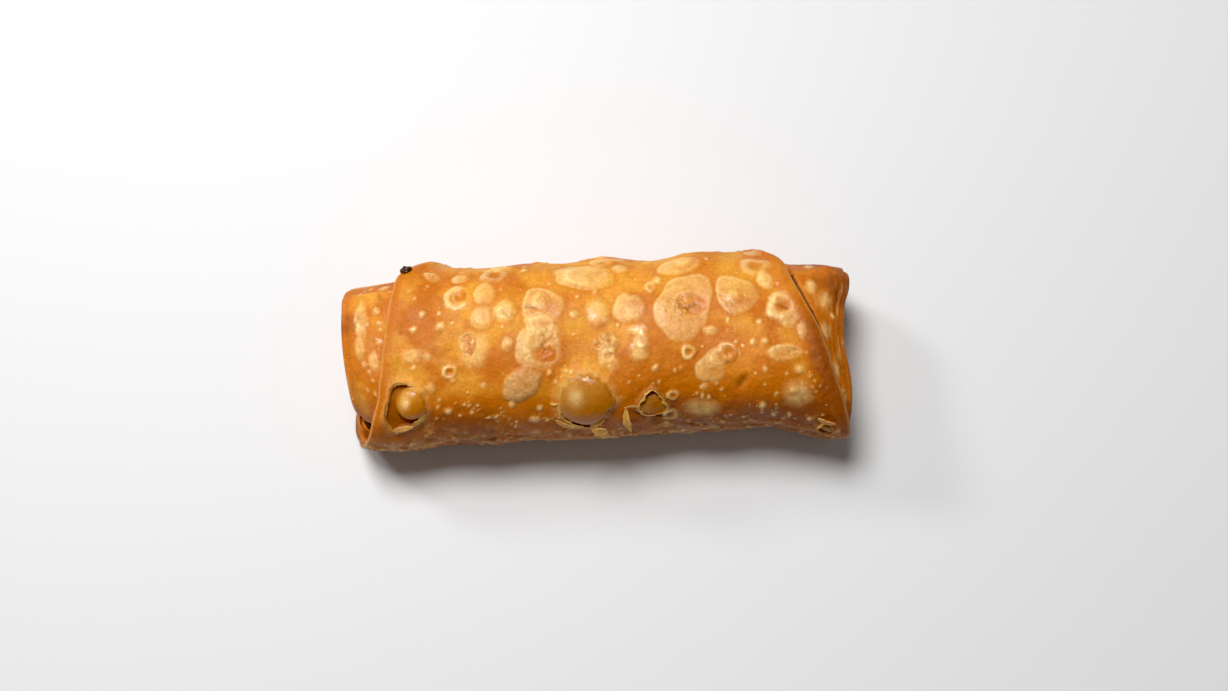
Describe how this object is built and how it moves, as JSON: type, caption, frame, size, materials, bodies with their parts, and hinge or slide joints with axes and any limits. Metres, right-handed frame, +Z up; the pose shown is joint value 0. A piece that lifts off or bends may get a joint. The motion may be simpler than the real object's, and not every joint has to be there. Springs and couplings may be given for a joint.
{
  "type": "fried spring roll",
  "caption": "Deep-fried roll of thin dough wound round a filling, with folded-in ends, a diagonal wrapped corner and a blistered crust",
  "frame": {"origin": "under the middle of the roll, in the plane that it rests on", "axes": "+X along the roll, +Z up, -Y towards the side where the wrapped corner stands off"},
  "size_m": [0.1511, 0.0603, 0.0448],
  "materials": {
    "fried_dough": "golden fried dough, blistered and lightly oily",
    "cooked_filling": "moist dark cooked vegetables"
  },
  "bodies": {
    "root": {"wrapper": "fried_dough", "filling": "cooked_filling"}
  },
  "joints": []
}
